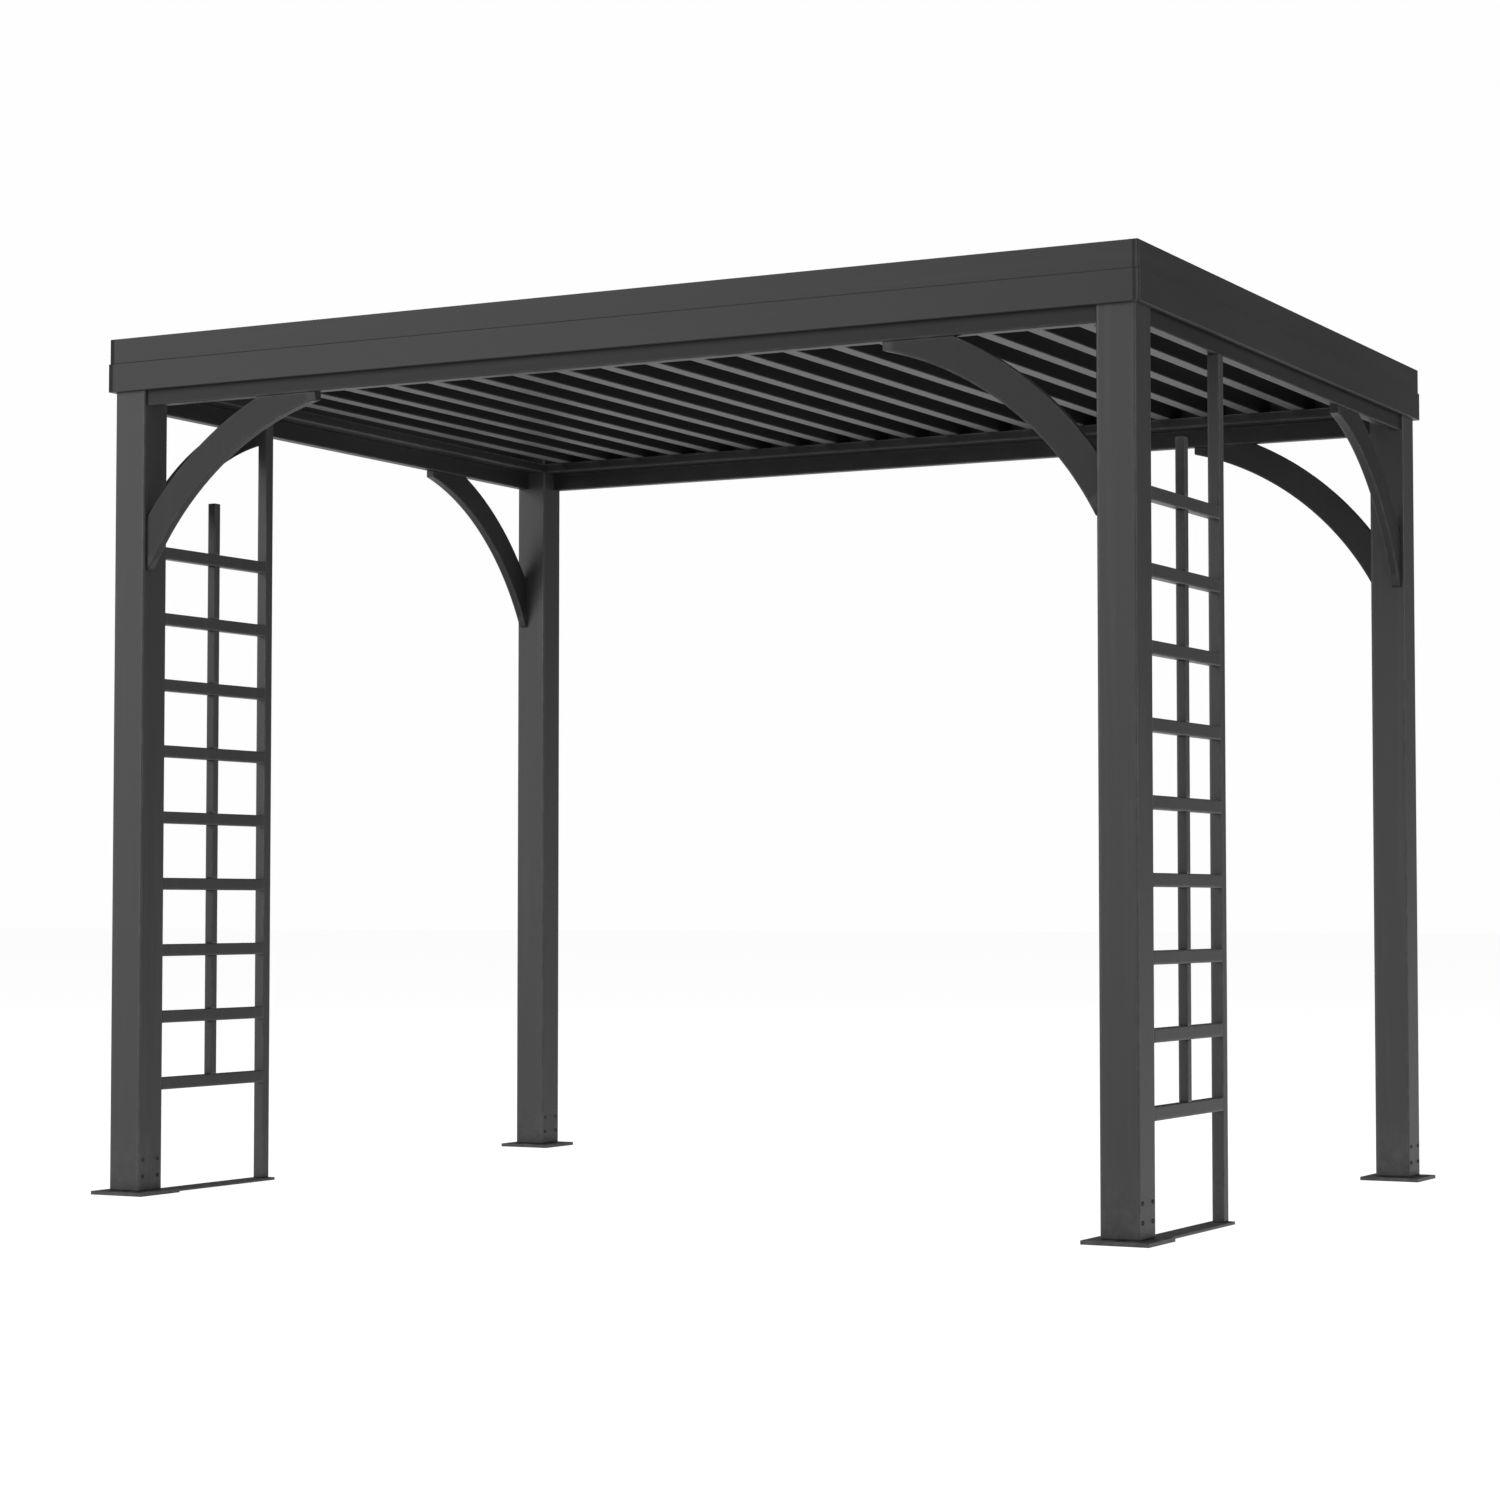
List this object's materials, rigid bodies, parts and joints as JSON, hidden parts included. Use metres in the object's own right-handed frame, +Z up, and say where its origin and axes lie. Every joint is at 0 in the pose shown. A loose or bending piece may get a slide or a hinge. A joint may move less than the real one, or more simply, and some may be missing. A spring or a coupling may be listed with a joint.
{
  "type": "garden pergola with trellis ladders",
  "caption": "Free-standing metal pergola: four posts on base plates, a slatted flat roof inside a stepped fascia, curved knee braces and a trellis ladder behind each front post.",
  "frame": {"origin": "centre of the footprint on the floor", "axes": "+Z up, +X along the long side to the right seen from the front, +Y to the back"},
  "size_m": [3.144, 2.314, 2.4],
  "materials": {
    "frame_coating": "satin charcoal powder coat with a fine texture",
    "dark_screws": "dark coated button-head screws",
    "zinc_bolts": "zinc-plated hex bolts"
  },
  "bodies": {
    "root": {"foot_front_left": "frame_coating", "foot_front_right": "frame_coating", "foot_back_right": "frame_coating", "foot_back_left": "frame_coating", "post_front_left": "frame_coating", "post_front_right": "frame_coating", "post_back_right": "frame_coating", "post_back_left": "frame_coating", "beam_front": "frame_coating", "beam_right": "frame_coating", "beam_back": "frame_coating", "beam_left": "frame_coating", "fascia_low_front": "frame_coating", "fascia_low_right": "frame_coating", "fascia_low_back": "frame_coating", "fascia_low_left": "frame_coating", "fascia_top_front": "frame_coating", "fascia_top_right": "frame_coating", "fascia_top_back": "frame_coating", "fascia_top_left": "frame_coating", "brace_front_left": "frame_coating", "brace_front_right": "frame_coating", "brace_right_back": "frame_coating", "brace_back_right": "frame_coating", "brace_left_back": "frame_coating", "brace_left_front": "frame_coating", "slat_01": "frame_coating", "slat_02": "frame_coating", "slat_03": "frame_coating", "slat_04": "frame_coating", "slat_05": "frame_coating", "slat_06": "frame_coating", "slat_07": "frame_coating", "slat_08": "frame_coating", "slat_09": "frame_coating", "slat_10": "frame_coating", "slat_11": "frame_coating", "slat_12": "frame_coating", "slat_13": "frame_coating", "slat_14": "frame_coating", "slat_15": "frame_coating", "slat_16": "frame_coating", "slat_17": "frame_coating", "slat_18": "frame_coating", "slat_19": "frame_coating", "slat_20": "frame_coating", "trellis_left_stile": "frame_coating", "trellis_left_rails": "frame_coating", "trellis_left_mid_bars": "frame_coating", "trellis_left_foot_strap": "frame_coating", "trellis_right_stile": "frame_coating", "trellis_right_rails": "frame_coating", "trellis_right_mid_bars": "frame_coating", "trellis_right_foot_strap": "frame_coating", "ledges": "frame_coating", "post_caps": "frame_coating", "foot_screws": "dark_screws", "frame_bolts": "zinc_bolts"}
  },
  "joints": []
}
